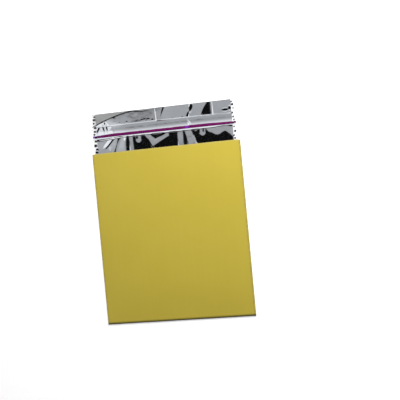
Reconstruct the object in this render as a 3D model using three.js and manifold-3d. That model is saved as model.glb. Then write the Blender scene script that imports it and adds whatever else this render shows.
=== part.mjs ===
// A flat card mailer sleeve with a metallised film pouch in it. The pouch closes with a press-together zip.
// It lies on its back: X runs across it, Y from its closed end to its mouth, and Z is up from the floor.
// All sizes are in millimetres.
import * as THREE from "three";
import { mergeVertices } from "three/addons/utils/BufferGeometryUtils.js";
import Module from "manifold-3d";

const { lerp, clamp, smoothstep } = THREE.MathUtils;

// Sleeve: one folded card, closed at its sides and its lower end
const SLEEVE_WIDTH = 150;
const SLEEVE_LENGTH = 173;
const CARD_THICKNESS = 0.4;
const FOLD_ROOM = 0.6; // free height between the folded sides, beyond the two films
const PANEL_SLACK = 1.9; // extra rise of the front panel's middle over the pouch
const PANEL_RISE_LENGTH = 40; // from the lower fold to where the front panel has its full rise
const PANEL_FLAT_SHARE = 0.6; // of the front panel's width that is nearly level

// Pouch: two films sealed together along the sides and the lower end, open at the top
const ZIP_STANDOFF = 15.4; // film between the sleeve's mouth and the zip
const HEADER_LENGTH = 13.7; // film above the zip
const POUCH_SIDE_CLEARANCE = 1.6; // to where the sleeve's inside starts to round over
const POUCH_END_CLEARANCE = 2;
const FILM_THICKNESS = 0.2;
const SIDE_SEAL_WIDTH = 3.5;
const END_SEAL_WIDTH = 8;
const LEFT_SLOPE_WIDTH = 16; // beside the left seal, where the front film lifts off the back one
const RIGHT_SLOPE_WIDTH = 26;
const END_SLOPE_WIDTH = 8;
const CHAMBER_GAP = 0.7; // between the films inside the sleeve

// Front film's upper edge, which falls away at the left and leaves the back film bare
const LIP_GAP = 2.1; // between the films at the upper edge
const LIP_SETBACK = 0.8; // below the back film's edge
const LIP_LEFT_HEIGHT = 1.5; // above the zip at the left side, where it is lowest
const LIP_FALL_WIDTH = 42;
const LIP_DIP = { x: -18, halfWidth: 11, depth: 1.3 };

// Zip: a rib strip on the back film pressed into a groove strip on the front film
const ZIP_FLANGE_ABOVE = 9.2;
const ZIP_FLANGE_BELOW = 1.8;
const ZIP_FLANGE_THICKNESS = 0.3;
const RIB_STEM_WIDTH = 0.6;
const RIB_STEM_HEIGHT = 1;
const RIB_HEAD_WIDTH = 1.2;
const RIB_HEAD_HEIGHT = 0.8;
const GROOVE_WALL = 0.35;
const GROOVE_LIP = 0.25;
const ZIP_CLEARANCE = 0.15; // around the rib in its groove
const ZIP_CRUSHED_SHARE = 0.25; // of the zip's height left where the side seals flatten it
const COLOUR_LINE_WIDTH = 2.8;
const COLOUR_LINE_HEIGHT = 0.35;

// Folds of the front film below the zip. It steps down at the zip's edge and then falls into the sleeve's
// mouth. Some folds stay level all the way: tongues, a wedge with a gap in it, and loops with a slot. They
// all hang from the zip.
const ZIP_STEP_DROP = 0.45;
const ZIP_STEP_WIDTH = 1.6;
const FALL_SLOPE = 0.05;
const FALL_LEAD = 0.25; // height over the level folds where the fall starts
const FALL_RUN_IN = 10; // inside the mouth, where the film is plain again
const RIGHT_SHOULDER = { from: 42, to: 46, width: 3.8 }; // where the fall starts lower
const SHOULDER_LOBES = [
  { x: 53.6, halfWidth: 8, width: 3.2 },
  { x: 64.5, halfWidth: 6, width: 0.6 },
];
const FOLD_SIDE = 1.6; // width of a level fold's sides
const TONGUES = [
  { zip: [-90, -52.9], mouth: [-90, -66] },
  { zip: [-51.4, -47.6], mouth: [-62.5, -51.4] },
  { zip: [-46.2, -39.2], mouth: [-49.8, -39.2] },
  { zip: [-35.4, -31], mouth: [-35.6, -30.2] },
  { zip: [14.4, 19.2], mouth: [14.4, 19.2] },
  { zip: [22, 27.6], mouth: [23.6, 31.8] },
];
const WEDGE = { x: -12.1, reach: 14.8, leans: [0.5, 1.75], right: 6 };
const WEDGE_GAP = { x: -8.8, reach: 6.5, leans: [0.93, 1.96] };
const LOOPS = [
  { x: -25.6, halfWidth: 3.2, reach: 10.4, slot: { x: -26.9, halfWidth: 1.5, reach: 4.5 } },
  { x: 39.1, halfWidth: 3.6, reach: 10.4, slot: { x: 39.9, halfWidth: 1.1, reach: 5.4 } },
];

// Creases of the front film above the zip: across the pouch and height, at the zip and at the upper edge
const HEADER_CREASES = [
  { zip: [-38, 0], top: [-38, 0] },
  { zip: [-6.9, -0.5], top: [-6.9, -0.5] },
  { zip: [-5.4, 0], top: [-5.3, 0] },
  { zip: [24.8, 0], top: [28.4, 0] },
  { zip: [26.4, -0.7], top: [30.6, -0.2] },
  { zip: [27.8, 0], top: [32, 0] },
  { zip: [38.2, 0], top: [46.4, 0] },
  { zip: [47.2, -1.3], top: [48, -0.1] },
  { zip: [50, -1.2], top: [50, -0.7] },
  { zip: [54, 0], top: [54, 0] },
];

// Positions along the mailer
const pouchProud = ZIP_STANDOFF + ZIP_FLANGE_BELOW + ZIP_FLANGE_ABOVE + HEADER_LENGTH;
const sleeveEnd = -(SLEEVE_LENGTH + pouchProud) / 2;
const mouth = sleeveEnd + SLEEVE_LENGTH;
const zipLower = mouth + ZIP_STANDOFF;
const zipLine = zipLower + ZIP_FLANGE_BELOW;
const zipUpper = zipLine + ZIP_FLANGE_ABOVE;
const pouchTop = zipUpper + HEADER_LENGTH;

// Heights
const foldHeight = 2 * CARD_THICKNESS + 2 * FILM_THICKNESS + FOLD_ROOM;
const foldRadius = foldHeight / 2;
const panelRise = CHAMBER_GAP + PANEL_SLACK;
const ribHeadBottom = ZIP_FLANGE_THICKNESS + RIB_STEM_HEIGHT;
const ribTop = ribHeadBottom + RIB_HEAD_HEIGHT;
const zipHeight = ribTop + ZIP_CLEARANCE + ZIP_FLANGE_THICKNESS;

// Positions across the mailer, from its middle
const panelHalf = SLEEVE_WIDTH / 2 - foldRadius;
const pouchHalf = panelHalf - POUCH_SIDE_CLEARANCE;
const sealInside = pouchHalf - SIDE_SEAL_WIDTH;
const liftedLeft = LEFT_SLOPE_WIDTH - sealInside;
const liftedRight = sealInside - RIGHT_SLOPE_WIDTH;

// Lower end of the pouch inside the sleeve
const pouchEnd = sleeveEnd + foldRadius + POUCH_END_CLEARANCE;
const chamberEnd = pouchEnd + END_SEAL_WIDTH;

// Values from a start through each span's end, in that span's number of equal steps.
function stations(start, ...spans) {
  const values = [start];
  for (const { to, steps } of spans) {
    const from = values.at(-1);
    for (let step = 1; step <= steps; step++) {
      values.push(lerp(from, to, step / steps));
    }
  }
  return values;
}

// A divided box whose corner number (column, row, layer) goes to the point that place() gives for it.
function formedBox(columns, rows, layers, place) {
  const geometry = new THREE.BoxGeometry(1, 1, 1, columns, rows, layers);
  const position = geometry.attributes.position;
  for (let corner = 0; corner < position.count; corner++) {
    const column = Math.round((position.getX(corner) + 0.5) * columns);
    const row = Math.round((position.getY(corner) + 0.5) * rows);
    const layer = Math.round((position.getZ(corner) + 0.5) * layers);
    position.setXYZ(corner, ...place(column, row, layer));
  }
  geometry.computeVertexNormals();
  return geometry;
}

// Sleeve

const acrossPanel = stations(
  -panelHalf,
  { to: -PANEL_FLAT_SHARE * panelHalf, steps: 7 },
  { to: PANEL_FLAT_SHARE * panelHalf, steps: 4 },
  { to: panelHalf, steps: 7 },
);
const panelRows = [
  { to: sleeveEnd + PANEL_RISE_LENGTH, steps: 8 },
  { to: mouth, steps: 4 },
];
const FOLD_STEPS = 4;

function panelTop(x, y) {
  const crown = 1 - (clamp(x, -panelHalf, panelHalf) / panelHalf) ** 6;
  const along = clamp((y - sleeveEnd - foldRadius) / (PANEL_RISE_LENGTH - foldRadius), 0, 1);
  return foldHeight + panelRise * crown * (1 - (1 - along) ** 2);
}

// The sleeve's outside, or its inside where an inset and a longer mouth are given.
function sleeveBlock(inset, overrun) {
  const radius = foldRadius - inset;
  const along = stations(sleeveEnd + foldRadius, ...panelRows);
  const lastColumn = acrossPanel.length - 1;
  const lastRow = along.length - 1;
  return formedBox(lastColumn, lastRow, FOLD_STEPS, (column, row, layer) => {
    const turn = Math.PI * (layer / FOLD_STEPS - 0.5);
    const outward = radius * Math.cos(turn);
    const side = column === 0 ? -outward : column === lastColumn ? outward : 0;
    const end = row === 0 ? -outward : row === lastRow ? overrun : 0;
    const x = acrossPanel[column] + side;
    const y = along[row] + end;
    const top = panelTop(x, y) - inset;
    return [x, y, lerp(inset, top, (1 + Math.sin(turn)) / 2)];
  });
}

const wasm = await Module();
wasm.setup();

function solidOf(geometry) {
  const bare = geometry.clone();
  bare.deleteAttribute("normal");
  bare.deleteAttribute("uv");
  const merged = mergeVertices(bare, 1e-4);
  return new wasm.Manifold(
    new wasm.Mesh({
      numProp: 3,
      vertProperties: merged.attributes.position.array,
      triVerts: new Uint32Array(merged.index.array),
    }),
  );
}

function geometryOf(solid) {
  const mesh = solid.getMesh();
  const geometry = new THREE.BufferGeometry();
  geometry.setAttribute("position", new THREE.BufferAttribute(mesh.vertProperties, 3));
  geometry.setIndex(new THREE.BufferAttribute(mesh.triVerts, 1));
  geometry.computeVertexNormals();
  return geometry;
}

function sleeve() {
  const outside = solidOf(sleeveBlock(0, 0));
  const inside = solidOf(sleeveBlock(CARD_THICKNESS, CARD_THICKNESS));
  return geometryOf(outside.subtract(inside));
}

// Pouch films

// Across the pouch, with this number of steps between the slopes beside the side seals. The zip and the front
// film share the slopes' steps, so they lie on each other there.
function pouchColumns(middleSteps) {
  return stations(
    -pouchHalf,
    { to: -sealInside, steps: 1 },
    { to: liftedLeft, steps: 8 },
    { to: liftedRight, steps: middleSteps },
    { to: sealInside, steps: 9 },
    { to: pouchHalf, steps: 1 },
  );
}

const acrossFilm = pouchColumns(48);
const acrossZip = pouchColumns(1);
const alongPouch = stations(
  pouchEnd,
  { to: chamberEnd, steps: 1 },
  { to: chamberEnd + END_SLOPE_WIDTH, steps: 3 },
  { to: mouth - FALL_RUN_IN, steps: 1 },
  { to: mouth, steps: 3 },
  { to: zipLower - ZIP_STEP_WIDTH, steps: 8 },
  { to: zipLower, steps: 1 },
  { to: zipUpper, steps: 1 },
  { to: pouchTop, steps: 9 },
);

// Underside of the back film: on the sleeve's back panel, and on the floor from the zip upwards.
function backFilmBottom(y) {
  return CARD_THICKNESS * (1 - smoothstep(y, mouth, zipLower));
}

function backFilmTop(y) {
  return backFilmBottom(y) + FILM_THICKNESS;
}

// 0 on the side seals, 1 where the front film is free of them.
function lifted(x) {
  return smoothstep(x, -sealInside, liftedLeft) * (1 - smoothstep(x, liftedRight, sealInside));
}

// Height of the pressed-together zip, less at the side seals.
function zipLift(x) {
  return zipHeight * lerp(ZIP_CRUSHED_SHARE, 1, lifted(x));
}

// How far below the zip the film between the level folds starts to fall.
function shoulderWidth(x) {
  let width = ZIP_STEP_WIDTH + RIGHT_SHOULDER.width * smoothstep(x, RIGHT_SHOULDER.from, RIGHT_SHOULDER.to);
  for (const lobe of SHOULDER_LOBES) {
    width += lobe.width * Math.max(1 - ((x - lobe.x) / lobe.halfWidth) ** 2, 0) ** 2;
  }
  return width;
}

// How far a place lies inside a tongue, a V or a round-ended strip below the zip, less than 0 outside it.
function insideTongue(tongue, x, below) {
  const share = below / ZIP_STANDOFF;
  const left = lerp(tongue.zip[0], tongue.mouth[0], share);
  const right = lerp(tongue.zip[1], tongue.mouth[1], share);
  return Math.min(x - left, right - x);
}

function insideWedge(wedge, x, below) {
  const up = wedge.reach - below;
  const left = (x - wedge.x + wedge.leans[0] * up) / Math.hypot(1, wedge.leans[0]);
  const right = (wedge.x - x + wedge.leans[1] * up) / Math.hypot(1, wedge.leans[1]);
  return Math.min(left, right);
}

function insideStrip(strip, x, below) {
  const past = Math.max(below - strip.reach + strip.halfWidth, 0);
  return strip.halfWidth - Math.hypot(x - strip.x, past);
}

// 1 on the level folds, 0 between them.
function levelShare(x, below) {
  const tongues = TONGUES.map((tongue) => insideTongue(tongue, x, below));
  const wedge = Math.min(insideWedge(WEDGE, x, below), WEDGE.right - x, -insideWedge(WEDGE_GAP, x, below));
  const loops = LOOPS.map((loop) => Math.min(insideStrip(loop, x, below), -insideStrip(loop.slot, x, below)));
  return clamp(Math.max(wedge, ...tongues, ...loops) / FOLD_SIDE + 0.5, 0, 1);
}

// How far the front film lies below the zip's level, on the side towards the sleeve.
function foldsBelow(x, below) {
  const step = clamp(below / ZIP_STEP_WIDTH, 0, 1);
  const fall = FALL_SLOPE * Math.max(below - shoulderWidth(x), 0) - FALL_LEAD;
  return step * (ZIP_STEP_DROP + (1 - levelShare(x, below)) * fall);
}

// Height of the creased film above the zip, against its level, at a share of the way to the upper edge.
function creaseHeight(x, share) {
  const creases = HEADER_CREASES.map(({ zip, top }) => {
    return [lerp(zip[0], top[0], share), lerp(zip[1], top[1], share)];
  });
  const next = creases.findIndex(([place]) => place > x);
  if (next < 1) {
    return next === 0 ? creases[0][1] : creases.at(-1)[1];
  }
  const [start, startHeight] = creases[next - 1];
  const [end, endHeight] = creases[next];
  return lerp(startHeight, endHeight, (x - start) / (end - start));
}

function lipEdge(x) {
  const fall = Math.max(1 - (x + pouchHalf) / LIP_FALL_WIDTH, 0) ** 1.4;
  const dip = Math.max(1 - ((x - LIP_DIP.x) / LIP_DIP.halfWidth) ** 2, 0) ** 2;
  const level = pouchTop - LIP_SETBACK;
  return lerp(level, zipUpper + LIP_LEFT_HEIGHT, fall) - LIP_DIP.depth * dip;
}

// Gap between the films.
function filmGap(x, y) {
  const free = lifted(x);
  const crushed = (1 - free) * ZIP_CRUSHED_SHARE * zipHeight;
  if (y < zipLower) {
    const below = Math.min(zipLower - y, ZIP_STANDOFF);
    const open = zipHeight - backFilmBottom(y) - foldsBelow(x, below);
    const shown = free * open + crushed * smoothstep(-below, -ZIP_STANDOFF / 4, 0);
    const chamber = free * CHAMBER_GAP * smoothstep(y, chamberEnd, chamberEnd + END_SLOPE_WIDTH);
    return lerp(chamber, shown, smoothstep(y, mouth - FALL_RUN_IN, mouth));
  }
  if (y <= zipUpper) {
    return zipLift(x);
  }
  const share = (y - zipUpper) / (lipEdge(x) - zipUpper);
  const step = clamp((y - zipUpper) / ZIP_STEP_WIDTH, 0, 1);
  const open = lerp(zipHeight, LIP_GAP, step) + step * creaseHeight(x, share);
  return free * open + crushed * (1 - smoothstep(share, 0, 0.25));
}

function frontFilmBottom(x, y) {
  return backFilmTop(y) + filmGap(x, y);
}

function backFilm() {
  const across = [-pouchHalf, -sealInside, sealInside, pouchHalf];
  return formedBox(across.length - 1, alongPouch.length - 1, 1, (column, row, layer) => {
    const y = alongPouch[row];
    return [across[column], y, layer === 0 ? backFilmBottom(y) : backFilmTop(y)];
  });
}

function frontFilm() {
  return formedBox(acrossFilm.length - 1, alongPouch.length - 1, 1, (column, row, layer) => {
    const x = acrossFilm[column];
    const station = alongPouch[row];
    const share = Math.max(station - zipUpper, 0) / (pouchTop - zipUpper);
    const y = share > 0 ? lerp(zipUpper, lipEdge(x), share) : station;
    return [x, y, frontFilmBottom(x, y) + layer * FILM_THICKNESS];
  });
}

// Zip

// A strip across the pouch, from section points of (distance above the rib, height over the back film).
function zipStrip(section) {
  const steps = acrossZip.length - 1;
  const shape = new THREE.Shape(section.map(([along, height]) => new THREE.Vector2(along, height)));
  const geometry = new THREE.ExtrudeGeometry(shape, { depth: 1, steps, bevelEnabled: false });
  const position = geometry.attributes.position;
  for (let corner = 0; corner < position.count; corner++) {
    const x = acrossZip[Math.round(position.getZ(corner) * steps)];
    const y = zipLine + position.getX(corner);
    const height = position.getY(corner) / zipHeight;
    position.setXYZ(corner, x, y, backFilmTop(y) + height * zipLift(x));
  }
  geometry.computeVertexNormals();
  return geometry;
}

function ribStrip() {
  const stem = RIB_STEM_WIDTH / 2;
  const head = RIB_HEAD_WIDTH / 2;
  return zipStrip([
    [-ZIP_FLANGE_BELOW, 0],
    [ZIP_FLANGE_ABOVE, 0],
    [ZIP_FLANGE_ABOVE, ZIP_FLANGE_THICKNESS],
    [stem, ZIP_FLANGE_THICKNESS],
    [stem, ribHeadBottom],
    [head, ribHeadBottom],
    [stem, ribTop],
    [-stem, ribTop],
    [-head, ribHeadBottom],
    [-stem, ribHeadBottom],
    [-stem, ZIP_FLANGE_THICKNESS],
    [-ZIP_FLANGE_BELOW, ZIP_FLANGE_THICKNESS],
  ]);
}

function grooveStrip() {
  const flangeBottom = zipHeight - ZIP_FLANGE_THICKNESS;
  const lipTop = ribHeadBottom - ZIP_CLEARANCE;
  const lipBottom = lipTop - GROOVE_LIP;
  const throat = RIB_STEM_WIDTH / 2 + ZIP_CLEARANCE;
  const inside = RIB_HEAD_WIDTH / 2 + ZIP_CLEARANCE;
  const outside = inside + GROOVE_WALL;
  return zipStrip([
    [-ZIP_FLANGE_BELOW, zipHeight],
    [-ZIP_FLANGE_BELOW, flangeBottom],
    [-outside, flangeBottom],
    [-outside, lipBottom],
    [-throat, lipBottom],
    [-throat, lipTop],
    [-inside, lipTop],
    [-inside, flangeBottom],
    [inside, flangeBottom],
    [inside, lipTop],
    [throat, lipTop],
    [throat, lipBottom],
    [outside, lipBottom],
    [outside, flangeBottom],
    [ZIP_FLANGE_ABOVE, flangeBottom],
    [ZIP_FLANGE_ABOVE, zipHeight],
  ]);
}

function colourLine() {
  const bottom = (x) => backFilmTop(zipLine) + zipLift(x) + FILM_THICKNESS;
  return formedBox(acrossZip.length - 1, 1, 1, (column, row, layer) => {
    const x = acrossZip[column];
    return [x, zipLine + (row - 0.5) * COLOUR_LINE_WIDTH, bottom(x) + layer * COLOUR_LINE_HEIGHT];
  });
}

// Assembly

const group = new THREE.Group();

function add(name, geometry, color, roughness, metalness) {
  const material = new THREE.MeshStandardMaterial({ color, roughness, metalness });
  const mesh = new THREE.Mesh(geometry, material);
  mesh.name = name;
  group.add(mesh);
}

add("outer_sleeve", sleeve(), "#c4ae47", 0.45, 0.3);
add("pouch_back_film", backFilm(), "#b4b5b8", 0.3, 0.9);
add("pouch_front_film", frontFilm(), "#c6c7ca", 0.12, 1);
add("zip_rib_strip", ribStrip(), "#dfe3e4", 0.4, 0);
add("zip_groove_strip", grooveStrip(), "#dfe3e4", 0.4, 0);
add("zip_colour_line", colourLine(), "#7d0f63", 0.3, 0);

export default group;
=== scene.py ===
"""Looks of a flat gold mailer sleeve with a silver zip pouch standing out of its mouth.

The mailer lies on its back on a pale floor. Blender works in metres. The folds of the film are small, so they
are written in millimetres: x across from the middle, v up from the sleeve's mouth, heights above the floor.
A pair of places is where something starts and where it is complete.
"""
import math

import bpy
import numpy as np
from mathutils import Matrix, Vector


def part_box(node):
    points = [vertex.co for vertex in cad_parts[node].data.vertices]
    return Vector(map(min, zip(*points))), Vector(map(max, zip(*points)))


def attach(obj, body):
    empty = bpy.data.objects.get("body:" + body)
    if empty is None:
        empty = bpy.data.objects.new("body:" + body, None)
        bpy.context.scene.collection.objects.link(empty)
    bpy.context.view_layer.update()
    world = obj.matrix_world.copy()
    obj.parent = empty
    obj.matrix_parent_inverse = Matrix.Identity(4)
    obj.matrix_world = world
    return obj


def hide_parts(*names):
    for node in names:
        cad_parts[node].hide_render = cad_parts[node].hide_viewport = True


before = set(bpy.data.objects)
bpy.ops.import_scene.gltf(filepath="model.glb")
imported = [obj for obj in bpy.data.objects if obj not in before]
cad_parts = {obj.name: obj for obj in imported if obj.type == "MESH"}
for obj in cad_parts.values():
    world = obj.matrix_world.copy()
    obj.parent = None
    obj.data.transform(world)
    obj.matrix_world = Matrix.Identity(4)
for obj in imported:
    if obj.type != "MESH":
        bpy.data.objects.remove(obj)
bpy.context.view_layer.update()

MM = 0.001

# Places from the frame, in millimetres
sleeve_low, sleeve_high = (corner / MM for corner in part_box("outer_sleeve"))
back_low, back_high = (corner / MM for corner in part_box("pouch_back_film"))
groove_low, groove_high = (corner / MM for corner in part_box("zip_groove_strip"))
line_low, line_high = (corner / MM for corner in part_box("zip_colour_line"))
MOUTH = sleeve_high.y
POUCH_HALF = back_high.x
POUCH_END = back_low.y - MOUTH
POUCH_TOP = back_high.y - MOUTH
ZIP_LOWER = groove_low.y - MOUTH
ZIP_UPPER = groove_high.y - MOUTH
ZIP_LINE = (line_low.y + line_high.y) / 2 - MOUTH
LINE_WIDTH = line_high.y - line_low.y

# Sleeve
CARD = 0.4
FOLD_HEIGHT = 1.8
FOLD_RADIUS = FOLD_HEIGHT / 2
FOLD_LAYERS = 8
PANEL_RISE_LENGTH = 40
PANEL_HALF = sleeve_high.x - FOLD_RADIUS
PANEL_RISE = sleeve_high.z - FOLD_HEIGHT
PANEL_CROWN = 4  # power of the curve across the panel
PANEL_MIDDLE_SHARE = 0.8  # of the panel's width that has wider columns
WAVE_FADE = 15  # beside the folded sides
SIDE_SHADE_WIDTH = 2  # painted shade starts this far inside the folded sides
END_SHADE = (2, 0.8)  # from the lower end
MOUTH_WEAR = (1.6, 0.2)  # from the cut edge

# Pouch
FILM = 0.2
SEAL_WIDTH = 3.5
SEAL_INSIDE = POUCH_HALF - SEAL_WIDTH
SEAL_SOFT = 0.3
ZIP_HEIGHT = groove_high.z - FILM
ZIP_CRUSHED = 0.25 * ZIP_HEIGHT
CHAMBER_GAP = 0.3
MOUTH_RUN_IN = 10  # inside the sleeve, where the film's folds fade out
FILM_CORNER = 0.1
FINE_EDGE = SEAL_INSIDE - 1  # points lie closer together beyond it
FINE_LEFT = -52  # points of the front film lie closer together beyond it
BACK_UNEVEN = 0.04
BACK_UNEVEN_START = 3  # above the zip, where it is complete

# Unevenness: amount up and down, size of a cell, and number of the random lattice
CARD_WAVE = (0.12, 23, 10)
COARSE_RIPPLES = (0.016, 5.3, 1)
FINE_RIPPLES = (0.004, 1.7, 2)
CRUMPLES = (0.02, 2.9, 3)
MOTTLES = (0.04, 1.5, 5)
HEADER_RIPPLES = (0.01, 3.7, 6)
BACK_RIPPLES = (1, 6.1, 7)
LINE_WANDER = (0.1, 7.3, 8)
LINE_SWELL = (0.08, 5.1, 9)
CRUMPLES_END = (-60, -52)
CRUMPLES_LEAN = 0.5
CRUMPLES_STRETCH = 0.4
MOTTLES_PLACE = 32.5
MOTTLES_HALF = 5
MOTTLES_TOP = ZIP_LOWER - 1
HEADER_RIPPLES_START = 2  # above the zip, where they are complete
HEADER_RIPPLES_END = (-26, -14)

# Dots pressed into the side seals. Scatter is how far they vary, and a number that mixes them up.
DOT_PITCH = 3.6
DOT_INSET = 2.3
DOT_LEFT = 1.45
DOT_LOWER_LEFT = 0.3  # more than the other dots at the left
DOT_RIGHT = 1.1
LOWER_LEFT = (11, 16)
DOT_EDGE = 2.5
DOT_HEIGHT = 0.2
DOT_TILT = 0.16
SCATTER_ALONG = (0.2, 5)
SCATTER_ACROSS = (0.7, 2.1)
SCATTER_SIZE = (0.25, 3.7)

# Sides of the front film: at the left it climbs from the seal to a crest, which leans out up the page
CLIMB_FOOT = -SEAL_INSIDE - 1
LEFT_CLIMB = 1 / 15
CREST = -48.5
CREST_LEAN = 0.35
CREST_LEANS = 17
CREST_LEANS_MORE = 26
BILLOW_LENGTH = 12
RIGHT_SLOPE = 26
# How steeply a film pulled straight rises from the side seals: at the left below the zip, at the left above
# the zip's lower edge, and at the right
LEFT_PULL = 0.075
LIP_PULL = 0.25
RIGHT_PULL = 0.2

# Front film's upper edge, which falls away and turns up at the left
LIP_SETBACK = 0.8
LIP_LEFT_HEIGHT = 1.5
LIP_FALL_WIDTH = 42
LIP_FALL_BEND = 1.4
LIP_DIP = (-18, 11, 1.3)  # middle, half width and depth
LIP_CURL = 0.08
LIP_CURL_WIDTH = 0.6
LIP_CURL_END = (-34, -10)
LEFT_CURL = 0.14  # more than the rest of the lip
LEFT_CURL_WIDTH = 0.4
LEFT_CURL_END = (-58, -48)
SHINY_LIP_START = (-1.3, -1)  # from the edge
SHINY_LIP_END = (0, 0.2)

# Front film over the zip's band
RIDGE = 0.4
RIDGE_CREST = 0.9  # above the colour line
RIDGE_FALL = 3.4
BAND_RISE = 0.06
BAND_RISE_ALONG = (21.2, 24.8)
BAND_RISE_ACROSS = (-56, -50)
PLEAT_PLACE = 24.6
PLEAT_TOP = 25.2
PLEAT_LENGTH = 6.2
PLEAT_WIDENING = 0.62
PLEAT_RETURN = 0.7
PLEAT_SLOPE = 0.2
PLEAT_CORNER = 0.15
PLEAT_START = (15.5, 18.5)

# Front film below the zip, which steps down and then falls into the sleeve's mouth between level folds
STEP_DROP = 0.45
STEP_WIDTH = 1.6
STEP_TOP = ZIP_LOWER + 0.4
STEP_END = (48, 60)
LEFT_STEP_END = (-58, -46)
LEFT_STEP_REACH = 0.55
LEFT_STEP_NARROWING = 0.45
UPPER_STEP_WIDTH = 0.8
FALL_SLOPE = 0.05
FALL_LEAD = 0.15
FALL_LEAD_END = (41, 45)
RIGHT_SHOULDER = (42, 46, 3.8)  # start, end and how much lower the fall starts
SHOULDER_LOBE = (53.6, 8, 3.2)  # middle, half width and how much lower the fall starts
END_SHOULDER = (60, 71, 7)
FOLD_SIDE = 1.3
FOLD_SIDE_OUTSIDE = 0.8  # share of a level fold's side that lies outside its outline
# Level tongues of film: left and right edge at the zip, left and right edge at the mouth
TONGUES = [
    (-90, -40.4, -90, -40.4),
    (-34.6, -31.8, -34.8, -31.4),
    (14.4, 19.2, 14.4, 19.2),
    (22, 27.6, 23.6, 31.8),
]
# Level wedge with a gap in it: tip across, reach below the zip, and how far each side leans out per step up
WEDGE = (-12.1, 14.8, 0.42, 1.75)
WEDGE_GAP = (-8.8, 7.9, 0.6, 1.7)
WEDGE_RIGHT = 5.2
# Level loops that hang from the zip, and their slots: middle, half width and reach below the zip
LOOPS = [
    ((-25.6, 2.4, 9.2), (-26.9, 1.3, 4.5)),
    ((39.1, 2.5, 9), (39.9, 1, 5.4)),
]
# Leaning folds at the left, which rise slowly and drop at once: place of the drop across at the zip, lean,
# length of the rise, height, where they fade out down the page, and how steeply the film beyond them sags
# towards the zip
LEANING_FOLDS = [
    (-50, 0.95, 3, 0.48, 6, 0),
    (-46, 0.36, 9, 0.2, -4, 0.045),
]
LEANING_DROP = 1
LEANING_FADE = (-3, 4)
LEANING_START = (0.4, 1.8)
SAG_START = 4
SAG_END = (-41, -36)

# Front film above the zip
WELD_RISE = 0.08
WELD_DROP = 0.17
WELD_WIDTH = 0.9
HEADER_START = 0.3
HEADER_TILT = 0.03
HEADER_TILT_START = (-40, -30)
HEADER_TILT_END = (-8, 2)
LIP_RISE = 0.0026
LIP_RISE_TILTED = 0.0017  # less than the rest of the lip, where the film is tilted
LIP_RISE_LENGTH = 8.4
LIP_RISE_START = (-58, -48)
LIP_RISE_END = (-2, 8)
# Creases: place at the zip and at the lip, height at the zip and at the lip
CREASES = [
    (-9.5, -9.9, 0, 0),
    (-6.9, -7.3, -0.3, -0.3),
    (-5.1, -5.6, 0.24, 0.24),
    (-2.4, 2.6, 0.2, 0.2),
    (-1.1, 3.9, 0.1, -0.1),
    (12, 12, 0, 0),
    (39, 47, 0, 0),
    (41, 47.4, -0.65, -0.05),
    (47.2, 48, -1.1, -0.1),
    (50, 50, -0.95, -0.6),
    (51.6, 51.6, 0, 0.05),
    (56, 56, 0.1, 0.1),
    (64, 64, 0, 0),
]
CREASE_BEND = 1.5
CREASE_CORNER = 0.2
# Facets that tilt up the page: middle across and up, half width and half length, lean, and the height up the
# page at which they are level with the film around them. The first ones lie above the zip, the others at its
# ends.
HEADER_FACETS = [
    (26.1, 28.8, 1.1, 5.4, 0.3, 31.5),
    (29.4, 36, 2, 5.6, 0.2, 34.5),
]
END_FACETS = [
    (63, 30.3, 4.2, 1.9, 0, 30.3),
    (67.4, 31.6, 1.9, 2.6, 0, 31.6),
    (-57, 24.6, 0.8, 4.6, -0.2, 24.6),
    (-58.8, 29.6, 0.8, 2.2, -0.4, 29.6),
    (-60.7, 24.6, 0.9, 4.8, -0.3, 24.6),
    (-66.4, 24, 1.2, 4.2, 0.25, 24),
]
FACET_TILT = 0.1
FACET_EDGE = 3
# Pits along the zip: middle across and up, and half width
PITS = [
    (20.6, 27.6, 1.2),
    (11, 27.2, 1),
    (-9.6, 28.3, 0.9),
    (-14, 29.2, 1.9),
    (-18, 29.4, 1.6),
    (-20.6, 29, 0.9),
    (-36, 29, 1.1),
    (-43.3, 28.6, 1.2),
    (-48.5, 30, 1),
]
PIT_DEPTH = 0.1
PIT_ALONG = (-1, -0.6, 0.8)  # start, deepest place and end, from the middle

# Colour line
LINE_TURNS = 9
LINE_STEP = 0.8
LINE_END_GAP = 0.2
LINE_EDGE = 0.03
LINE_HEIGHT = 0.3
LINE_SUNK = 0.02
LINE_NARROWED = 0.25  # share of its width that is lost where the side seals flatten it
LINE_FLATTENED = 0.4  # share of its height that is left there

# Colours, from the darkest to the lightest where there are two
SHINY_FILM = (0.8, 0.83, 0.88)
SATIN_FILM = (0.82, 0.83, 0.83)
CLOUDED = 0.94  # share of a film's colour that is left in its clouds
FROSTED = (0.9, 0.9, 0.91, 1)
PRESSED = (0.1, 0.1, 0.11, 1)
GOLD = [(0.6, 0.475, 0.056, 1), (0.625, 0.496, 0.064, 1)]
GOLD_STREAK = (0.59, 0.462, 0.058, 1)
# Painted shade in patches along the gold's folded sides
GOLD_SIDE_SHADE = (0.28, 0.23, 0.08, 1)
GOLD_RUBBED = (0.6, 0.53, 0.24, 1)
GOLD_SHADED = (0.04, 0.03, 0.006, 1)
CARD_CORE = [(0.55, 0.48, 0.24, 1), (0.72, 0.67, 0.45, 1)]
MAGENTA = [(0.075, 0.0015, 0.05, 1), (0.14, 0.003, 0.09, 1)]
VIOLET = (0.16, 0.02, 0.34, 1)
ZIP_PLASTIC = [(0.66, 0.69, 0.7, 1), (0.76, 0.78, 0.79, 1)]
PAPER = [(0.94, 0.94, 0.94, 1), (0.96, 0.96, 0.96, 1)]
WHITE = (1, 1, 1, 1)

# Violet parts of the colour line, in metres: its left end, and the start, end and softness of a kink
VIOLET_END = (-0.062, -0.071)
VIOLET_KINK = (0.0215, 0.027, 0.002)

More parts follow.
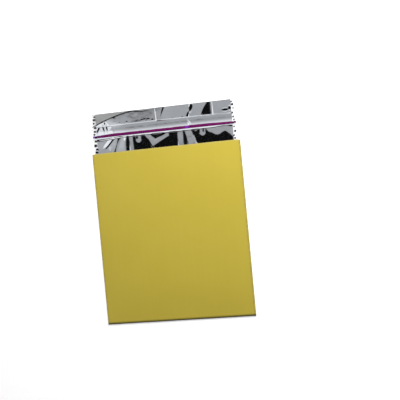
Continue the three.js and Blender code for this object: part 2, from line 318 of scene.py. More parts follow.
# Surfaces
NOISE_MIDDLE = (0.3, 0.7)  # most of a noise's values lie between
VIOLET_SPOTS = (0.4, 0.55)
# Patches of the painted shade at the gold's sides and of the rubbing at its mouth
SHADE_AND_WEAR_SPOTS = (0.35, 0.6)
SIDE_SHADE_SHARES = (0.2, 0.75)  # share of the painted shade at the sides, between the spots and on them
RUBBED_SHARES = (0.15, 0.5)
STREAK_SHARE = 0.3
FROSTED_METAL = 0.2
FROSTED_ROUGHNESS = 0.4

# Camera and lamp: lens in millimetres, places and sizes in metres, angles in degrees, power in watts
CAMERA_LENS = 50
CAMERA_PLACE = (0.10806, 0.0175, 0.54275)
CAMERA_TURN = (-1.431, 8.086, -5.338)
LAMP_POWER = 1.5
LAMP_SIZE = 0.2
LAMP_PLACE = (0.13, 0.23, 0.31)
LAMP_AIM = (0.03, 0.03, 0)

# Floor: size and place in metres, and its glow as the camera and shiny pieces see it
FLOOR_SIZE = 4
FLOOR_PLACE = (0, 0, -0.0002)
FLOOR_GLOW = 0.3

# Light tent. A direction is given across and up the page, and as its height over the floor.
# Cloth: directions it changes between, and its brightness there
CLOTH_NEAR = (0.055, 0.095, 0.16, 0.42)
CLOTH_FAR = (0.14, 0.75, 0, 0.9)
CLOTH_CORNER = (0.5, 0.85, 0, 1.2)
CORNER_SLANT = 0.6  # share of across in the direction of the bright corner
# Least and most brightness, by the height over the floor
CLOTH_LEAST = (0.3, 0.6, 0.55, 0)
CLOTH_MOST = (0.4, 0.8, 0.85, 1.05)
# Windows: left, right, low and high edge, and how soft the edges are
RIGHT_WINDOW = (0.2, 2, 0.1, 2, 0.3)
RIGHT_WINDOW_SHARE = 1.6  # times as bright as the other windows
WINDOWS = [
    (-2, -0.465, 0.118, 2, 0.015),
    (-2, -0.47, 0, 2, 0.1),
    (-2, -0.9, -2, 2, 0.1),
    (0.5, 2, -0.1, 2, 0.1),
    (-0.8, 0.25, -1.1, -0.58, 0.06),
]
WINDOW_LEVEL = 1.2
OPENING = (-0.62, 0.42, -0.58, 0.062, 0.014)
OPENING_SHARE = 0.03
# Dim gaps between the panels of the far wall: left and right edge of each, and what they share
GAPS = [(-0.62, -0.52), (-0.15, -0.06), (0.08, 0.2), (0.54, 0.66)]
GAP_SPAN = (0.45, 2, 0.03)
GAP_SHARE = 0.25


# Shape helpers

def smooth(value, start, end):
    """0 before start, 1 after end, with a soft climb between."""
    share = np.clip((value - start) / (end - start), 0, 1)
    return share * share * (3 - 2 * share)


def ramp(value, corner=0.12):
    """0 before 0, 1 after 1, straight between, with rounded corners."""
    return 0.5 * (1 + np.hypot(value, corner) - np.hypot(value - 1, corner))


def hinge(value, corner):
    """0 before 0, the value itself after 0, with a rounded corner."""
    return 0.5 * (value + np.hypot(value, corner))


def bump(value):
    """1 at 0, falling to 0 at -1 and 1."""
    return np.maximum(1 - value * value, 0) ** 2


def ripple(x, y, amount, cell, seed):
    """A soft random variation up and down, on a lattice of this cell size."""
    size = 64
    table = np.random.default_rng(seed).uniform(-1, 1, (size, size))
    column = np.floor(x / cell).astype(int)
    row = np.floor(y / cell).astype(int)
    across = smooth(x / cell - column, 0, 1)
    along = smooth(y / cell - row, 0, 1)

    def corner(right, up):
        return table[(column + right) % size, (row + up) % size]

    lower = corner(0, 0) * (1 - across) + corner(1, 0) * across
    upper = corner(0, 1) * (1 - across) + corner(1, 1) * across
    return amount * (lower * (1 - along) + upper * along)


def scatter(number, amount, mixer):
    """A variation up and down that looks random from one number to the next."""
    return amount * np.sin(mixer * number)


def spaced(start, *stretches):
    """Places from start on, in stretches that are given by their end and about the step between places."""
    places = [[start]]
    for end, step in stretches:
        count = max(1, round((end - start) / step))
        places.append(np.linspace(start, end, count + 1)[1:])
        start = end
    return np.concatenate(places)


# Front film's folds

def lifted(x, v):
    """0 on the side seals, 1 where the front film is free of them, more where it billows at the left."""
    leaning = np.clip(v - CREST_LEANS, 0, CREST_LEANS_MORE - CREST_LEANS)
    crest = CREST - CREST_LEAN * leaning - hinge(v - CREST_LEANS_MORE, corner=0.5)
    sink = (LEFT_CLIMB * (crest - CLIMB_FOOT) - 1) / BILLOW_LENGTH
    climb = LEFT_CLIMB * hinge(x - CLIMB_FOOT, corner=0.5)
    climb = climb - (LEFT_CLIMB + sink) * hinge(x - crest, corner=0.6)
    left = climb + sink * hinge(x - crest - BILLOW_LENGTH, corner=2)
    return left * (1 - smooth(x, SEAL_INSIDE - RIGHT_SLOPE, SEAL_INSIDE))


def lip_edge(x):
    """The front film's upper edge, which falls away at the left."""
    middle, half_width, depth = LIP_DIP
    fall = np.maximum(1 - (x + POUCH_HALF) / LIP_FALL_WIDTH, 0) ** LIP_FALL_BEND
    level = POUCH_TOP - LIP_SETBACK
    edge = level + (ZIP_UPPER + LIP_LEFT_HEIGHT - level) * fall
    return edge - depth * bump((x - middle) / half_width)


def shoulder(x):
    """How far below the zip the film between the level folds starts to fall."""
    start, end, lower = RIGHT_SHOULDER
    middle, half_width, lobe = SHOULDER_LOBE
    far_start, far_end, far_lower = END_SHOULDER
    width = STEP_WIDTH + lower * smooth(x, start, end) + lobe * bump((x - middle) / half_width)
    return width + far_lower * smooth(x, far_start, far_end)


def inside_wedge(x, below, tip, reach, left_lean, right_lean):
    """How far a place lies inside a V below the zip, less than 0 outside it."""
    up = reach - below
    left = (x - tip + left_lean * up) / math.hypot(1, left_lean)
    right = (tip - x + right_lean * up) / math.hypot(1, right_lean)
    return np.minimum(left, right)


def inside_strip(x, below, middle, half_width, reach):
    """How far a place lies inside a round-ended strip that hangs from the zip, less than 0 outside it."""
    return half_width - np.hypot(x - middle, np.maximum(below - reach + half_width, 0))


def level_share(x, below):
    """1 on the level folds, 0 between them."""
    share = below / ZIP_LOWER
    inside = np.minimum(inside_wedge(x, below, *WEDGE), -inside_wedge(x, below, *WEDGE_GAP))
    inside = np.minimum(inside, WEDGE_RIGHT - x)
    for left, right, left_far, right_far in TONGUES:
        start = left + (left_far - left) * share
        end = right + (right_far - right) * share
        inside = np.maximum(inside, np.minimum(x - start, end - x))
    for loop, slot in LOOPS:
        around = np.minimum(inside_strip(x, below, *loop), -inside_strip(x, below, *slot))
        inside = np.maximum(inside, around)
    return ramp(inside / FOLD_SIDE + FOLD_SIDE_OUTSIDE)


def below_zip(x, v):
    """Height against the zip's level, below it: a step down from the ridge, less deep at the right end."""
    drop = 1 - STEP_DROP / (RIDGE + STEP_DROP) * smooth(x, *STEP_END)
    return RIDGE - (RIDGE + STEP_DROP) * drop * ramp((STEP_TOP - v) / STEP_WIDTH / drop)


def fall(x, v):
    """How far the film between the level folds has fallen below them."""
    below = np.clip(ZIP_LOWER - v, 0, ZIP_LOWER)
    lead = FALL_LEAD * (1 - smooth(x, *FALL_LEAD_END)) * ramp(below / STEP_WIDTH)
    return (1 - level_share(x, below)) * (FALL_SLOPE * hinge(below - shoulder(x), corner=0.3) - lead)


def leaning_folds(x, v):
    """Folds at the left, below the zip, that drop to the right along leaning lines."""
    fade_start, fade_end = LEANING_FADE
    height = 0
    for place, lean, length, rise, end, sag in LEANING_FOLDS:
        past = (x - place - lean * (v - ZIP_LOWER)) / math.hypot(1, lean)
        fold = ramp(1 + past / length) - ramp(past / LEANING_DROP)
        height = height + rise * fold * smooth(v, end + fade_start, end + fade_end)
        height = height - sag * v * smooth(past, 0, SAG_START) * (1 - smooth(x, *SAG_END))
    return height * smooth(ZIP_LOWER - v, *LEANING_START)


def pleat(x, v):
    """A sharp fold in the zip's band that widens downwards."""
    width = PLEAT_WIDENING * np.clip(PLEAT_TOP - v, 0, PLEAT_LENGTH)
    past = x - PLEAT_PLACE
    rise = hinge(past, PLEAT_CORNER) - hinge(past - width, PLEAT_CORNER)
    rise = rise - width * ramp((past - width) / PLEAT_RETURN)
    return PLEAT_SLOPE * rise * smooth(v, *PLEAT_START)


def over_zip(x, v):
    """Height against the zip's level, over its band."""
    ridge = RIDGE * np.clip(1 - (v - ZIP_LINE - RIDGE_CREST) / RIDGE_FALL, 0, 1) ** 2
    return ridge + BAND_RISE * smooth(v, *BAND_RISE_ALONG) * smooth(x, *BAND_RISE_ACROSS) + pleat(x, v)


def creased(x, share):
    """Straight facets between the creases above the zip."""
    places = [near + (far - near) * share ** CREASE_BEND for near, far, _, _ in CREASES]
    heights = [near + (far - near) * share for _, _, near, far in CREASES]
    height = heights[0]
    slope = 0
    for index in range(len(CREASES) - 1):
        next_slope = (heights[index + 1] - heights[index]) / (places[index + 1] - places[index])
        height = height + (next_slope - slope) * hinge(x - places[index], CREASE_CORNER)
        slope = next_slope
    return height - slope * hinge(x - places[-1], CREASE_CORNER)


def facets(x, v, listed):
    """Heights of small tilted facets."""
    height = 0
    for middle, up, half_width, half_length, lean, level in listed:
        across = (x - middle - lean * (v - up)) / half_width
        along = (v - up) / half_length
        height = height + FACET_TILT * (v - level) * ramp(FACET_EDGE * (1 - np.hypot(across, along)))
    return height


def pits(x, v):
    """Heights of small pits along the zip."""
    start, deepest, end = PIT_ALONG
    depth = 0
    for middle, up, half_width in PITS:
        down = smooth(v, up + start, up + deepest)
        back = 1 - smooth(v, up + deepest, up + end)
        depth = depth + bump((x - middle) / half_width) * down * back
    return -PIT_DEPTH * depth


def above_zip(x, v):
    """Height against the zip's level, above it."""
    above = v - ZIP_UPPER
    share = np.clip(above / (POUCH_TOP - ZIP_UPPER), 0, 1)
    tilted = smooth(x, *HEADER_TILT_START) * (1 - smooth(x, *HEADER_TILT_END))
    near_lip = hinge(v - lip_edge(x) + LIP_RISE_LENGTH, corner=0.5)
    near_lip = near_lip * smooth(x, *LIP_RISE_START) * (1 - smooth(x, *LIP_RISE_END))
    rising = HEADER_TILT * above * tilted + (LIP_RISE - LIP_RISE_TILTED * tilted) * near_lip ** 2
    folds = creased(x, share) + rising + facets(x, v, HEADER_FACETS) + pits(x, v)
    return WELD_RISE - WELD_DROP * ramp(above / WELD_WIDTH) + folds * ramp(above / HEADER_START)


def lip_curl(x, v):
    """Height of the front film's upper edge, which turns up at the left."""
    left = 1 - smooth(x, *LEFT_CURL_END)
    turned = hinge(v - lip_edge(x) + LIP_CURL_WIDTH + LEFT_CURL_WIDTH * left, corner=0.3)
    return (LIP_CURL + LEFT_CURL * left) * turned * (1 - smooth(x, *LIP_CURL_END))


def crinkles(x, v):
    """Fine unevenness, crumples at the left end, mottles on a fold and ripples at the left above the zip."""
    fine = ripple(x, v, *COARSE_RIPPLES) + ripple(x, v, *FINE_RIPPLES)
    crumpled = ripple(x + CRUMPLES_LEAN * v, CRUMPLES_STRETCH * v, *CRUMPLES)
    crumpled = crumpled * (1 - smooth(x, *CRUMPLES_END))
    mottled = ripple(x, v, *MOTTLES) * bump((x - MOTTLES_PLACE) / MOTTLES_HALF) * (v < MOTTLES_TOP)
    header = ripple(x + v, x - v, *HEADER_RIPPLES) * smooth(v, ZIP_UPPER, ZIP_UPPER + HEADER_RIPPLES_START)
    header = header * (1 - smooth(x, *HEADER_RIPPLES_END))
    return fine + crumpled + mottled + header


def seal_dot(x, v):
    """1 on the dots pressed into the side seals, with the distance up from each dot's middle."""
    number = np.floor(v / DOT_PITCH)
    along = v - (number + 0.5 + scatter(number, *SCATTER_ALONG)) * DOT_PITCH
    across = np.abs(x) - POUCH_HALF + DOT_INSET + scatter(number, *SCATTER_ACROSS)
    left_size = DOT_LEFT + DOT_LOWER_LEFT * (1 - smooth(v, *LOWER_LEFT))
    size = np.where(x < 0, left_size, DOT_RIGHT) + scatter(number, *SCATTER_SIZE)
    return ramp(DOT_EDGE * (1 - np.hypot(across, along) / size)), along


def seal_relief(x, v):
    """Tilted dots that stand up out of the side seals."""
    share, along = seal_dot(x, v)
    return share * (DOT_HEIGHT + DOT_TILT * along)


def back_film_top(v):
    """Height of the back film, which comes down from the sleeve's back panel to the floor."""
    return CARD * (1 - smooth(v, 0, ZIP_LOWER)) + FILM


def on_zip(x, v):
    """1 on the zip's band, 0 where the film has come down from it, which takes longer at the left."""
    left = 1 - smooth(x, *LEFT_STEP_END)
    foot = ZIP_LOWER - STEP_WIDTH * (1 + LEFT_STEP_REACH * left)
    share = ramp((v - foot) / STEP_WIDTH / (1 - LEFT_STEP_NARROWING * left), corner=0.08)
    return share * (1 - smooth(v, ZIP_UPPER, ZIP_UPPER + UPPER_STEP_WIDTH))


def tight(x, v):
    """Height above the back film of a film pulled straight from the side seals."""
    left = np.where(v < ZIP_LOWER, LEFT_PULL, LIP_PULL) * (SEAL_INSIDE + x)
    return hinge(np.minimum(left, RIGHT_PULL * (SEAL_INSIDE - x)), corner=0.05)


def front_film_bottom(x, v):
    """Height of the front film's underside."""
    free = lifted(x, v)
    back = back_film_top(v)
    folds = np.where(v < ZIP_UPPER, over_zip(x, v), above_zip(x, v) * free)
    folds = np.where(v < STEP_TOP, below_zip(x, v), folds)
    level = FILM + ZIP_CRUSHED + (ZIP_HEIGHT - ZIP_CRUSHED) * free + folds
    level = level - hinge(level - back - tight(x, v), FILM_CORNER) * (1 - on_zip(x, v))
    level = level - fall(x, v) + leaning_folds(x, v)
    level = level + facets(x, v, END_FACETS) + lip_curl(x, v) + crinkles(x, v)
    shown = hinge(level - back, FILM_CORNER)
    hidden = CHAMBER_GAP * free
    return back + hidden + (shown - hidden) * smooth(v, -MOUTH_RUN_IN, 0)


# Meshes

def grid_quads(grid):
    """Four-sided faces between the numbered points of a grid."""
    return np.stack([grid[:-1, :-1], grid[:-1, 1:], grid[1:, 1:], grid[1:, :-1]], -1).reshape(-1, 4)


def grid_edge(grid):
    """The numbers of the points around a grid."""
    return np.concatenate([grid[0, :-1], grid[:-1, -1], grid[-1, :0:-1], grid[:0:-1, 0]])


def add_mesh(name, points, faces, flat):
    """A smooth mesh object from points in millimetres. The flat faces keep sharp edges."""
    mesh = bpy.data.meshes.new(name)
    mesh.from_pydata((points * MM).tolist(), [], faces.tolist())
    softness = np.ones(len(faces), bool)
    softness[flat] = False
    mesh.polygons.foreach_set("use_smooth", softness)
    sides = np.empty(len(mesh.loops), np.int32)
    mesh.loops.foreach_get("edge_index", sides)
    sharp = np.zeros(len(mesh.edges), bool)
    sharp[sides.reshape(-1, 4)[~softness]] = True
    mesh.edges.foreach_set("use_edge_sharp", sharp)
    mesh.update()
    piece = bpy.data.objects.new(name, mesh)
    bpy.context.scene.collection.objects.link(piece)
    return piece


def sheet(name, x, y, bottom, top):
    """A closed sheet from grids of places and heights."""
    points = np.concatenate([np.stack([x, y, height], -1).reshape(-1, 3) for height in (bottom, top)])
    number = np.arange(x.size).reshape(x.shape)
    quads = grid_quads(number)
    rim = grid_edge(number)
    ahead = np.roll(rim, -1)
    sides = np.stack([rim, ahead, ahead + x.size, rim + x.size], -1)
    faces = np.concatenate([quads[:, ::-1], quads + x.size, sides])
    return add_mesh(name, points, faces, slice(2 * len(quads), None))


def note(piece, name, values):
    """Keeps one number per point for the material to read."""
    layer = piece.data.attributes.new(name, "FLOAT", "POINT")
    layer.data.foreach_set("value", np.asarray(values, np.float32).ravel())


def note_seals(piece, x, v):
    """Tells the material where the frosted side seals and the dots pressed into them are."""
    pressed = seal_dot(x, v)[0]
    past_lip = v - lip_edge(x)
    curled = smooth(past_lip, *SHINY_LIP_START) * (1 - smooth(past_lip, *SHINY_LIP_END)) * (x < 0)
    sealed = smooth(np.abs(x), SEAL_INSIDE - SEAL_SOFT, SEAL_INSIDE + SEAL_SOFT)
    frosted = sealed * (1 - pressed) * (1 - curled)
    note(piece, "frosted", np.tile(frosted.ravel(), 2))
    note(piece, "pressed", np.tile(pressed.ravel(), 2))


def front_film():
    """The front film, with more points at the left end, the seals and the zip's edges."""
    across = spaced(-POUCH_HALF, (-FINE_EDGE, 0.35), (FINE_LEFT, 0.3), (FINE_EDGE, 0.5), (POUCH_HALF, 0.35))
    hidden = [(-MOUTH_RUN_IN, 10), (-2, 2)]
    lower = [(ZIP_LOWER - 2, 0.5), (ZIP_LOWER + 1, 0.2)]
    upper = [(ZIP_UPPER - 0.4, 0.5), (ZIP_UPPER + 1.6, 0.2), (POUCH_TOP, 0.45)]
    along = spaced(POUCH_END, *hidden, *lower, *upper)
    x, v = np.meshgrid(across, along)
    share = np.maximum(v - ZIP_UPPER, 0) / (POUCH_TOP - ZIP_UPPER)
    v = np.where(share > 0, ZIP_UPPER + (lip_edge(x) - ZIP_UPPER) * share, v)
    bottom = front_film_bottom(x, v)
    piece = sheet("front_film", x, v + MOUTH, bottom, bottom + FILM + seal_relief(x, v))
    note_seals(piece, x, v)
    return piece


def back_film():
    """The back film, plain but for its seals and a little unevenness above the zip."""
    across = spaced(-POUCH_HALF, (-FINE_EDGE, 0.5), (FINE_EDGE, 2), (POUCH_HALF, 0.5))
    along = spaced(POUCH_END, (0, 6), (ZIP_UPPER, 1), (POUCH_TOP, 0.5))
    x, v = np.meshgrid(across, along)
    top = back_film_top(v)
    bare = v > lip_edge(x)
    uneven = BACK_UNEVEN * (1 + ripple(x, v, *BACK_RIPPLES))
    uneven = uneven * smooth(v, ZIP_UPPER, ZIP_UPPER + BACK_UNEVEN_START)
    piece = sheet("back_film", x, v + MOUTH, top - FILM + uneven, top + uneven + seal_relief(x, v) * bare)
    note_seals(piece, x, v)
    return piece


def colour_line():
    """A half-round plastic line welded along the front film, over the zip's rib."""
    x = spaced(-POUCH_HALF + LINE_END_GAP, (POUCH_HALF - LINE_END_GAP, LINE_STEP))
    middle = ZIP_LINE + ripple(x, x, *LINE_WANDER)
    narrowed = 1 - LINE_NARROWED * (1 - lifted(x, ZIP_LINE))
    half = LINE_WIDTH / 2 * (1 + ripple(x, 2 * x, *LINE_SWELL)) * narrowed
    turns = np.linspace(0, math.pi, LINE_TURNS)
    v = middle[:, None] - half[:, None] * np.cos(turns)
    across = np.repeat(x[:, None], len(turns), 1)
    base = front_film_bottom(across, v) + FILM
    share = LINE_FLATTENED + (1 - LINE_FLATTENED) * lifted(across, v)
    top = base + (LINE_EDGE + LINE_HEIGHT * np.sin(turns)) * share
    return sheet("colour_line", across.T, v.T + MOUTH, (base - LINE_SUNK).T, top.T)


def panel_top(x, y):
    """Height of the front panel's outside, which rises over the pouch."""
    start = sleeve_low.y + FOLD_RADIUS
    crown = 1 - (np.clip(x, -PANEL_HALF, PANEL_HALF) / PANEL_HALF) ** PANEL_CROWN
    along = np.clip((y - start) / (PANEL_RISE_LENGTH - FOLD_RADIUS), 0, 1)
    return FOLD_HEIGHT + PANEL_RISE * crown * (1 - (1 - along) ** 2)


def sleeve_skin(inset):
    """Points of a skin of the card, this far inside its outside, by layer, row and column."""
    edge = PANEL_MIDDLE_SHARE * PANEL_HALF
    across = spaced(-PANEL_HALF, (-edge, 1), (edge, 3), (PANEL_HALF, 1))
    along = spaced(sleeve_low.y + FOLD_RADIUS, (MOUTH, 2))
    counts = (FOLD_LAYERS + 1, len(along), len(across))
    layer, row, column = np.indices(counts)
    turn = np.pi * (layer / FOLD_LAYERS - 0.5)
    outward = (FOLD_RADIUS - inset) * np.cos(turn)
    side = (column == len(across) - 1).astype(int) - (column == 0)
    x = across[column] + outward * side
    y = along[row] - outward * (row == 0)
    wave = ripple(x, y, *CARD_WAVE) * smooth(PANEL_HALF - np.abs(x), 0, WAVE_FADE)
    top = panel_top(x, y) + wave - inset
    z = inset + (top - inset) * (1 + np.sin(turn)) / 2
    return np.stack([x, y, z], -1)


def note_wear_and_shade(piece, points):
    """Tells the material where shade is painted on the card, at its folded sides and lower fold, and where
    the card is worn, at its cut edge.
    """
    x, y, _ = points.T
    far, near = END_SHADE
    start, end = MOUTH_WEAR
    note(piece, "side_fold", smooth(np.abs(x), PANEL_HALF - SIDE_SHADE_WIDTH, PANEL_HALF + FOLD_RADIUS))
    note(piece, "end_fold", smooth(-y, -sleeve_low.y - far, -sleeve_low.y - near))
    note(piece, "mouth_edge", smooth(y, MOUTH - start, MOUTH - end))


def outer_sleeve():
    """The folded card: an outer and an inner skin, joined by the cut edge at the mouth."""
    outer = sleeve_skin(0)
    inner = sleeve_skin(CARD)
    points = np.concatenate([outer.reshape(-1, 3), inner.reshape(-1, 3)])
    number = np.arange(outer.size // 3).reshape(outer.shape[:3])
    outside = np.concatenate([
        grid_quads(number[0])[:, ::-1],
        grid_quads(number[-1]),
        grid_quads(number[:, :, 0])[:, ::-1],
        grid_quads(number[:, :, -1]),
        grid_quads(number[:, 0, :]),
    ])
    loop = grid_edge(number[:, -1, :])
    ahead = np.roll(loop, -1)
    rim = np.stack([loop, loop + number.size, ahead + number.size, ahead], -1)
    faces = np.concatenate([outside, outside[:, ::-1] + number.size, rim])
    used, places = np.unique(faces, return_inverse=True)
    points = points[used]
    cut = slice(2 * len(outside), None)
    piece = add_mesh("sleeve_card", points, places.reshape(faces.shape), cut)
    note_wear_and_shade(piece, points)
    material_numbers = np.zeros(len(faces), np.int32)
    material_numbers[cut] = 1
    piece.data.polygons.foreach_set("material_index", material_numbers)
    return piece


# Materials

class Nodes:
    """Short ways to add nodes to a material or a world."""

    def __init__(self, owner):
        owner.use_nodes = True
        self.nodes = owner.node_tree.nodes
        self.links = owner.node_tree.links

    def add(self, kind, inputs=None, **settings):
        node = self.nodes.new(kind)
        for key, value in settings.items():
            setattr(node, key, value)
        for key, value in (inputs or {}).items():
            self.set(node.inputs[key], value)
        return node

    def set(self, socket, value):
        if isinstance(value, bpy.types.NodeSocket):
            self.links.new(value, socket)
        else:
            socket.default_value = value

    def place(self):
        return self.add("ShaderNodeTexCoord").outputs["Object"]

    def noise(self, scale, detail=2.0, stretch=None):
        place = self.place()
        if stretch:
            place = self.add("ShaderNodeMapping", {"Vector": place, "Scale": stretch}).outputs["Vector"]
        inputs = {"Vector": place, "Scale": scale, "Detail": detail}
        return self.add("ShaderNodeTexNoise", inputs).outputs["Fac"]

    def range(self, value, start, end, low=0.0, high=1.0):
        names = ("Value", "From Min", "From Max", "To Min", "To Max")
        inputs = dict(zip(names, (value, start, end, low, high)))
        return self.add("ShaderNodeMapRange", inputs).outputs["Result"]

    def between(self, value, start, end, soft):
        """1 between start and end, with soft edges inside them."""
        rise = self.range(value, start, start + soft)
        return self.math("MULTIPLY", rise, self.range(value, end, end - soft))

    def math(self, operation, first, second):
        return self.add("ShaderNodeMath", {0: first, 1: second}, operation=operation).outputs[0]

    def mix(self, share, first, second):
        """A mix of two colours. Their sockets share their names with others, so they are found by number."""
        node = self.add("ShaderNodeMix", data_type="RGBA")
        self.set(node.inputs["Factor"], share)
        self.set(node.inputs[6], first)
        self.set(node.inputs[7], second)
        return node.outputs[2]

    def noted(self, name):
        return self.add("ShaderNodeAttribute", attribute_name=name).outputs["Fac"]

    def bump(self, height, strength, distance):
        inputs = {"Height": height, "Strength": strength, "Distance": distance}
        return self.add("ShaderNodeBump", inputs).outputs["Normal"]


def material(name):
    """A new material, with short ways to add nodes to it and the inputs of its shader."""
    made = bpy.data.materials.new(name)
    nodes = Nodes(made)
    return made, nodes, nodes.nodes["Principled BSDF"].inputs


def film_material(name, colour, smoothest, roughest):
    """Metallised film, frosted at its side seals and dark in the dots pressed into them."""
    made, nodes, shader = material(name)
    cloud = nodes.noise(scale=60, detail=3)
    frosted = nodes.noted("frosted")
    nodes.set(shader["Metallic"], nodes.range(frosted, 0, 1, low=1, high=FROSTED_METAL))
    darker = tuple(CLOUDED * part for part in colour)
    film_colour = nodes.mix(cloud, (*darker, 1), (*colour, 1))
    film_colour = nodes.mix(frosted, film_colour, FROSTED)
    nodes.set(shader["Base Color"], nodes.mix(nodes.noted("pressed"), film_colour, PRESSED))
    rough = nodes.range(nodes.noise(scale=400), *NOISE_MIDDLE, smoothest, roughest)
    frosted_rough = nodes.math("MULTIPLY", frosted, FROSTED_ROUGHNESS)
    nodes.set(shader["Roughness"], nodes.math("MAXIMUM", rough, frosted_rough))
    nodes.set(shader["Normal"], nodes.bump(nodes.noise(scale=900), strength=0.12, distance=0.00004))
    return made


def gold_material():
    """Gold card with a fine grain, painted shade in patches at its folded sides, rubbed at the mouth and
    painted shade at the lower fold.
    """
    made, nodes, shader = material("gold_card")
    cloud = nodes.range(nodes.noise(scale=18, detail=3), *NOISE_MIDDLE)
    streaks = nodes.range(nodes.noise(scale=1, detail=3, stretch=(260, 9, 9)), *NOISE_MIDDLE)
    grain = nodes.noise(scale=1700, detail=3)
    side_shade = nodes.range(nodes.noise(scale=350, detail=4), *SHADE_AND_WEAR_SPOTS, *SIDE_SHADE_SHARES)
    rubbing = nodes.range(nodes.noise(scale=300, detail=3), *SHADE_AND_WEAR_SPOTS, *RUBBED_SHARES)
    gold = nodes.mix(cloud, *GOLD)
    gold = nodes.mix(nodes.math("MULTIPLY", streaks, STREAK_SHARE), gold, GOLD_STREAK)
    # Painted shade in patches along the folded sides
    gold = nodes.mix(nodes.math("MULTIPLY", nodes.noted("side_fold"), side_shade), gold, GOLD_SIDE_SHADE)
    gold = nodes.mix(nodes.math("MULTIPLY", nodes.noted("mouth_edge"), rubbing), gold, GOLD_RUBBED)
    nodes.set(shader["Base Color"], nodes.mix(nodes.noted("end_fold"), gold, GOLD_SHADED))
    shader["Metallic"].default_value = 0.3
    nodes.set(shader["Roughness"], nodes.range(grain, *NOISE_MIDDLE, low=0.4, high=0.5))
    nodes.set(shader["Normal"], nodes.bump(grain, strength=0.15, distance=0.00005))
    return made


def card_core_material():
    """The card's cut edge, with fine fibres."""
    made, nodes, shader = material("card_core")
    fibres = nodes.noise(scale=1, detail=4, stretch=(900, 900, 2500))
    nodes.set(shader["Base Color"], nodes.mix(fibres, *CARD_CORE))
    nodes.set(shader["Normal"], nodes.bump(fibres, strength=0.3, distance=0.0001))
    shader["Roughness"].default_value = 0.85
    return made


def line_material():
    """Magenta plastic, violet in spots at its left end and at a kink."""
    made, nodes, shader = material("magenta_line")
    across = nodes.add("ShaderNodeSeparateXYZ", {0: nodes.place()}).outputs["X"]
    spots = nodes.range(nodes.noise(scale=300), *VIOLET_SPOTS)
    left_end = nodes.math("MULTIPLY", nodes.range(across, *VIOLET_END), spots)
    violet_share = nodes.math("MAXIMUM", left_end, nodes.between(across, *VIOLET_KINK))
    magenta = nodes.mix(nodes.noise(scale=120, detail=3), *MAGENTA)
    nodes.set(shader["Base Color"], nodes.mix(violet_share, magenta, VIOLET))
    shader["Specular IOR Level"].default_value = 0.25
    nodes.set(shader["Roughness"], nodes.range(nodes.noise(scale=500), *NOISE_MIDDLE, low=0.22, high=0.4))
    nodes.set(shader["Normal"], nodes.bump(nodes.noise(scale=700), strength=0.2, distance=0.00005))
    return made


def plastic_material():
    """The zip's milky plastic."""
    made, nodes, shader = material("zip_plastic")
    nodes.set(shader["Base Color"], nodes.mix(nodes.noise(scale=150, detail=3), *ZIP_PLASTIC))
    nodes.set(shader["Roughness"], nodes.range(nodes.noise(scale=600), *NOISE_MIDDLE, low=0.25, high=0.4))
    nodes.set(shader["Normal"], nodes.bump(nodes.noise(scale=900), strength=0.1, distance=0.00005))
    return made


def paper_material():
    """Pale paper, which glows a little as the camera and shiny pieces see it, so that it looks white."""
    made, nodes, shader = material("floor_paper")
    nodes.set(shader["Base Color"], nodes.mix(nodes.noise(scale=40), *PAPER))
    shader["Roughness"].default_value = 0.9
    shader["Emission Color"].default_value = WHITE
    rays = nodes.add("ShaderNodeLightPath").outputs
    seen = nodes.math("ADD", rays["Is Camera Ray"], rays["Is Glossy Ray"])
    nodes.set(shader["Emission Strength"], nodes.range(seen, 0, 1, low=0, high=FLOOR_GLOW))
    return made


# Camera and light

def add_camera():
    """The camera of the main view."""
    camera_data = bpy.data.cameras.new("camera")
    camera_data.lens = CAMERA_LENS
    camera = bpy.data.objects.new("camera", camera_data)
    bpy.context.scene.collection.objects.link(camera)
    camera.location = CAMERA_PLACE
    camera.rotation_euler = [math.radians(angle) for angle in CAMERA_TURN]
    bpy.context.scene.camera = camera


def add_lamp():
    """A soft lamp at the upper right, which shiny pieces don't mirror."""
    lamp_data = bpy.data.lights.new("soft_lamp", "AREA")
    lamp_data.energy = LAMP_POWER
    lamp_data.size = LAMP_SIZE
    lamp = bpy.data.objects.new("soft_lamp", lamp_data)
    bpy.context.scene.collection.objects.link(lamp)
    lamp.location = LAMP_PLACE
    lamp.visible_glossy = False
    lamp.rotation_euler = (Vector(LAMP_AIM) - lamp.location).to_track_quat("-Z", "Y").to_euler()


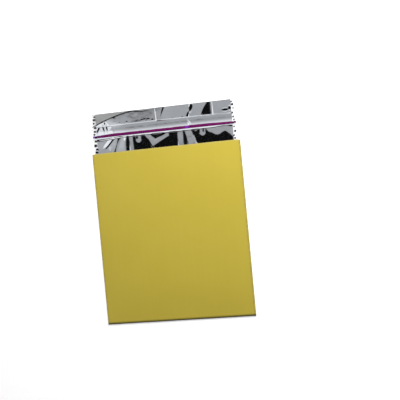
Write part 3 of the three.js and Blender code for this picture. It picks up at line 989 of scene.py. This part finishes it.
def add_tent():
    """A light tent with bright windows and a dark opening above the camera. The camera sees it white."""
    world = bpy.data.worlds.new("tent")
    bpy.context.scene.world = world
    tent = Nodes(world)
    place = tent.add("ShaderNodeTexCoord").outputs["Generated"]
    direction = tent.add("ShaderNodeSeparateXYZ", {0: place}).outputs
    side, up_page, height = direction["X"], direction["Y"], direction["Z"]

    def panel(left, right, low, high, soft):
        """1 inside a part of the tent, with soft edges."""
        across = tent.between(side, left, right, soft)
        return tent.math("MULTIPLY", across, tent.between(up_page, low, high, soft))

    cloth = tent.math("ADD", tent.range(up_page, *CLOTH_NEAR), tent.range(up_page, *CLOTH_FAR))
    slant = tent.math("ADD", tent.math("MULTIPLY", side, CORNER_SLANT), up_page)
    cloth = tent.math("ADD", cloth, tent.range(slant, *CLOTH_CORNER))
    lit = tent.math("MULTIPLY", panel(*RIGHT_WINDOW), RIGHT_WINDOW_SHARE)
    for window in WINDOWS:
        lit = tent.math("MAXIMUM", lit, panel(*window))
    cloth = tent.math("MAXIMUM", cloth, tent.math("MULTIPLY", lit, WINDOW_LEVEL))
    cloth = tent.math("MAXIMUM", cloth, tent.range(height, *CLOTH_LEAST))
    cloth = tent.math("MINIMUM", cloth, tent.range(height, *CLOTH_MOST))
    for left, right in GAPS:
        gap = panel(left, right, *GAP_SPAN)
        cloth = tent.math("MULTIPLY", cloth, tent.range(gap, 0, 1, low=1, high=GAP_SHARE))
    level = tent.math("MULTIPLY", cloth, tent.range(panel(*OPENING), 0, 1, low=1, high=OPENING_SHARE))
    seen = tent.add("ShaderNodeLightPath").outputs["Is Camera Ray"]
    background = tent.nodes["Background"].inputs
    background["Color"].default_value = WHITE
    tent.set(background["Strength"], tent.math("MAXIMUM", level, seen))


# Scene

add_camera()

shiny_film = film_material("shiny_film", SHINY_FILM, smoothest=0.04, roughest=0.09)
satin_film = film_material("satin_film", SATIN_FILM, smoothest=0.28, roughest=0.36)
plastic = plastic_material()

for piece, node, slot, looks in (
    (front_film(), "pouch_front_film", "front_film", [shiny_film]),
    (back_film(), "pouch_back_film", "back_film", [satin_film]),
    (colour_line(), "zip_colour_line", "magenta_plastic", [line_material()]),
    (outer_sleeve(), "outer_sleeve", "gold_card", [gold_material(), card_core_material()]),
):
    for look in looks:
        piece.data.materials.append(look)
    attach(piece, "root")
    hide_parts(node)

for node in ("zip_groove_strip", "zip_rib_strip"):
    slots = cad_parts[node].data.materials
    slots.clear()
    slots.append(plastic)

bpy.ops.mesh.primitive_plane_add(size=FLOOR_SIZE, location=FLOOR_PLACE)
floor = bpy.context.object
floor.name = "floor"
floor.data.materials.append(paper_material())

add_tent()
add_lamp()
bpy.context.scene.view_settings.view_transform = "Standard"
